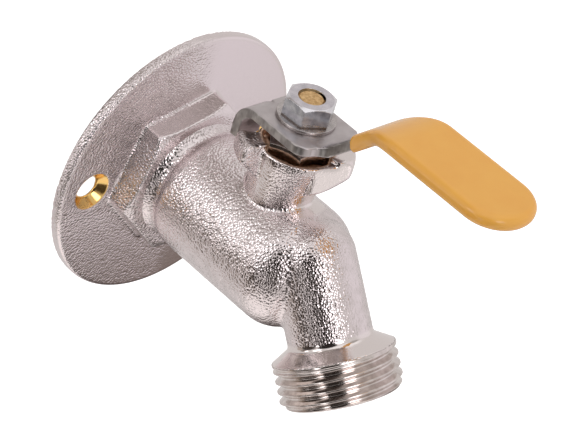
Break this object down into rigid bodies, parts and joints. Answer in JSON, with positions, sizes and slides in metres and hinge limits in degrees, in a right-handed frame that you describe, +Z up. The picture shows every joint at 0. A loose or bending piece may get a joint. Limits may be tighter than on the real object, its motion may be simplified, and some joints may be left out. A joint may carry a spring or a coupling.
{
  "type": "sillcock",
  "caption": "Quarter-turn ball-valve sillcock with a round wall flange, a hose-thread spout angled downwards and a lever handle with a dipped grip.",
  "frame": {"origin": "centre of the inlet thread in the plane of the wall flange's back face", "axes": "+Z up along the stem, +Y into the wall along the inlet, -Y out of the wall towards the spout, +X to the right for someone who faces the wall"},
  "size_m": [0.0656, 0.0926, 0.082],
  "materials": {
    "nickel_plate": "nickel-plated casting, satin",
    "seal_rubber": "matt black rubber",
    "ptfe": "white, waxy",
    "polished_ball": "polished plate on brass",
    "brass": "machined brass",
    "zinc_steel": "zinc-plated steel, satin",
    "yellow_vinyl": "dipped vinyl, glossy"
  },
  "bodies": {
    "valve": {"inlet_flange": "nickel_plate", "body_seal_ring": "seal_rubber", "valve_body": "nickel_plate", "inlet_seat": "ptfe", "outlet_seat": "ptfe", "packing_lower": "ptfe", "packing_upper": "ptfe", "gland_ring": "brass", "gland_nut": "nickel_plate"},
    "handle": {"ball": "polished_ball", "stem": "brass", "stem_thrust_washer": "ptfe", "lever": "zinc_steel", "lever_grip": "yellow_vinyl", "handle_washer": "zinc_steel", "handle_nut": "zinc_steel"}
  },
  "joints": [
    {"name": "lever_turn", "type": "hinge", "parent": "valve", "child": "handle", "pos_m": [0, -0.0336, 0], "axis": [0, 0, 1], "range_deg": [-90, 0]}
  ]
}
